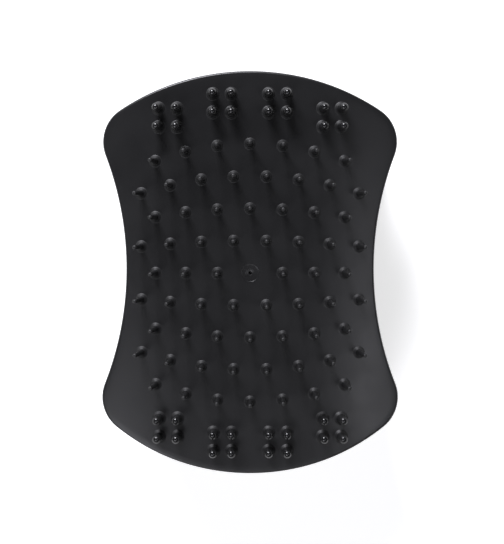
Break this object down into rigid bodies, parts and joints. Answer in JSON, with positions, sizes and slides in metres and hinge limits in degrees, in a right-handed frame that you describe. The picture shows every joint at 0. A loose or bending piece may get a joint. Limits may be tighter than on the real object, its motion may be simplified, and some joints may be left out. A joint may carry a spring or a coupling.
{
  "type": "scalp massager brush",
  "caption": "Palm-held scalp massager brush with a waisted outline, a soft pad of flexible cone teeth, and clusters of short ball-tipped massage teeth at both ends.",
  "frame": {"origin": "middle of the flat on the back cover, on the plane that the brush rests on when it lies on its back", "axes": "+Z towards the teeth, +Y along the brush's length, +X across its width"},
  "size_m": [0.0666, 0.09, 0.039],
  "materials": {
    "back_shell": "satin",
    "grip_shell": "fine matte texture",
    "carrier_plastic": "plain moulded",
    "soft_pad": "matte",
    "soft_cone_teeth": "satin",
    "soft_massage_teeth": "polished tips"
  },
  "bodies": {
    "handle": {"palm_cover": "back_shell", "grip_body": "grip_shell", "pad_carrier": "carrier_plastic", "bristle_pad": "soft_pad"},
    "cone_column_l7": {"cone_teeth_l7": "soft_cone_teeth"},
    "cone_column_l6": {"cone_teeth_l6": "soft_cone_teeth"},
    "cone_column_l5": {"cone_teeth_l5": "soft_cone_teeth"},
    "cone_column_l4": {"cone_teeth_l4": "soft_cone_teeth"},
    "cone_column_l3": {"cone_teeth_l3": "soft_cone_teeth"},
    "cone_column_l2": {"cone_teeth_l2": "soft_cone_teeth"},
    "cone_column_l1": {"cone_teeth_l1": "soft_cone_teeth"},
    "cone_column_mid": {"cone_teeth_mid": "soft_cone_teeth"},
    "cone_column_r1": {"cone_teeth_r1": "soft_cone_teeth"},
    "cone_column_r2": {"cone_teeth_r2": "soft_cone_teeth"},
    "cone_column_r3": {"cone_teeth_r3": "soft_cone_teeth"},
    "cone_column_r4": {"cone_teeth_r4": "soft_cone_teeth"},
    "cone_column_r5": {"cone_teeth_r5": "soft_cone_teeth"},
    "cone_column_r6": {"cone_teeth_r6": "soft_cone_teeth"},
    "cone_column_r7": {"cone_teeth_r7": "soft_cone_teeth"},
    "massage_column_l4": {"massage_teeth_l4": "soft_massage_teeth"},
    "massage_column_l3": {"massage_teeth_l3": "soft_massage_teeth"},
    "massage_column_l2": {"massage_teeth_l2": "soft_massage_teeth"},
    "massage_column_l1": {"massage_teeth_l1": "soft_massage_teeth"},
    "massage_column_r1": {"massage_teeth_r1": "soft_massage_teeth"},
    "massage_column_r2": {"massage_teeth_r2": "soft_massage_teeth"},
    "massage_column_r3": {"massage_teeth_r3": "soft_massage_teeth"},
    "massage_column_r4": {"massage_teeth_r4": "soft_massage_teeth"}
  },
  "joints": [
    {"name": "bend_cone_l7", "type": "hinge", "parent": "handle", "child": "cone_column_l7", "pos_m": [-0.0243, 0, 0.02934], "axis": [0, 1, 0], "range_deg": [-20, 20], "stiffness_Nm_per_rad": 0.0096},
    {"name": "bend_cone_l6", "type": "hinge", "parent": "handle", "child": "cone_column_l6", "pos_m": [-0.02111, 0, 0.02964], "axis": [0, 1, 0], "range_deg": [-20, 20], "stiffness_Nm_per_rad": 0.012},
    {"name": "bend_cone_l5", "type": "hinge", "parent": "handle", "child": "cone_column_l5", "pos_m": [-0.01779, 0, 0.02985], "axis": [0, 1, 0], "range_deg": [-20, 20], "stiffness_Nm_per_rad": 0.0096},
    {"name": "bend_cone_l4", "type": "hinge", "parent": "handle", "child": "cone_column_l4", "pos_m": [-0.01437, 0, 0.02998], "axis": [0, 1, 0], "range_deg": [-20, 20], "stiffness_Nm_per_rad": 0.012},
    {"name": "bend_cone_l3", "type": "hinge", "parent": "handle", "child": "cone_column_l3", "pos_m": [-0.01085, 0, 0.03], "axis": [0, 1, 0], "range_deg": [-20, 20], "stiffness_Nm_per_rad": 0.0096},
    {"name": "bend_cone_l2", "type": "hinge", "parent": "handle", "child": "cone_column_l2", "pos_m": [-0.00727, 0, 0.03], "axis": [0, 1, 0], "range_deg": [-20, 20], "stiffness_Nm_per_rad": 0.012},
    {"name": "bend_cone_l1", "type": "hinge", "parent": "handle", "child": "cone_column_l1", "pos_m": [-0.00365, 0, 0.03], "axis": [0, 1, 0], "range_deg": [-20, 20], "stiffness_Nm_per_rad": 0.0096},
    {"name": "bend_cone_mid", "type": "hinge", "parent": "handle", "child": "cone_column_mid", "pos_m": [0, 0, 0.03], "axis": [0, 1, 0], "range_deg": [-20, 20], "stiffness_Nm_per_rad": 0.0096},
    {"name": "bend_cone_r1", "type": "hinge", "parent": "handle", "child": "cone_column_r1", "pos_m": [0.00365, 0, 0.03], "axis": [0, 1, 0], "range_deg": [-20, 20], "stiffness_Nm_per_rad": 0.0096},
    {"name": "bend_cone_r2", "type": "hinge", "parent": "handle", "child": "cone_column_r2", "pos_m": [0.00727, 0, 0.03], "axis": [0, 1, 0], "range_deg": [-20, 20], "stiffness_Nm_per_rad": 0.012},
    {"name": "bend_cone_r3", "type": "hinge", "parent": "handle", "child": "cone_column_r3", "pos_m": [0.01085, 0, 0.03], "axis": [0, 1, 0], "range_deg": [-20, 20], "stiffness_Nm_per_rad": 0.0096},
    {"name": "bend_cone_r4", "type": "hinge", "parent": "handle", "child": "cone_column_r4", "pos_m": [0.01437, 0, 0.02998], "axis": [0, 1, 0], "range_deg": [-20, 20], "stiffness_Nm_per_rad": 0.012},
    {"name": "bend_cone_r5", "type": "hinge", "parent": "handle", "child": "cone_column_r5", "pos_m": [0.01779, 0, 0.02985], "axis": [0, 1, 0], "range_deg": [-20, 20], "stiffness_Nm_per_rad": 0.0096},
    {"name": "bend_cone_r6", "type": "hinge", "parent": "handle", "child": "cone_column_r6", "pos_m": [0.02111, 0, 0.02964], "axis": [0, 1, 0], "range_deg": [-20, 20], "stiffness_Nm_per_rad": 0.012},
    {"name": "bend_cone_r7", "type": "hinge", "parent": "handle", "child": "cone_column_r7", "pos_m": [0.0243, 0, 0.02934], "axis": [0, 1, 0], "range_deg": [-20, 20], "stiffness_Nm_per_rad": 0.0096},
    {"name": "bend_massage_l4", "type": "hinge", "parent": "handle", "child": "massage_column_l4", "pos_m": [-0.02035, 0, 0.0297], "axis": [0, 1, 0], "range_deg": [-8, 8], "stiffness_Nm_per_rad": 0.056},
    {"name": "bend_massage_l3", "type": "hinge", "parent": "handle", "child": "massage_column_l3", "pos_m": [-0.01625, 0, 0.02992], "axis": [0, 1, 0], "range_deg": [-8, 8], "stiffness_Nm_per_rad": 0.056},
    {"name": "bend_massage_l2", "type": "hinge", "parent": "handle", "child": "massage_column_l2", "pos_m": [-0.00825, 0, 0.03], "axis": [0, 1, 0], "range_deg": [-8, 8], "stiffness_Nm_per_rad": 0.056},
    {"name": "bend_massage_l1", "type": "hinge", "parent": "handle", "child": "massage_column_l1", "pos_m": [-0.00415, 0, 0.03], "axis": [0, 1, 0], "range_deg": [-8, 8], "stiffness_Nm_per_rad": 0.056},
    {"name": "bend_massage_r1", "type": "hinge", "parent": "handle", "child": "massage_column_r1", "pos_m": [0.00415, 0, 0.03], "axis": [0, 1, 0], "range_deg": [-8, 8], "stiffness_Nm_per_rad": 0.056},
    {"name": "bend_massage_r2", "type": "hinge", "parent": "handle", "child": "massage_column_r2", "pos_m": [0.00825, 0, 0.03], "axis": [0, 1, 0], "range_deg": [-8, 8], "stiffness_Nm_per_rad": 0.056},
    {"name": "bend_massage_r3", "type": "hinge", "parent": "handle", "child": "massage_column_r3", "pos_m": [0.01625, 0, 0.02992], "axis": [0, 1, 0], "range_deg": [-8, 8], "stiffness_Nm_per_rad": 0.056},
    {"name": "bend_massage_r4", "type": "hinge", "parent": "handle", "child": "massage_column_r4", "pos_m": [0.02035, 0, 0.0297], "axis": [0, 1, 0], "range_deg": [-8, 8], "stiffness_Nm_per_rad": 0.056}
  ]
}
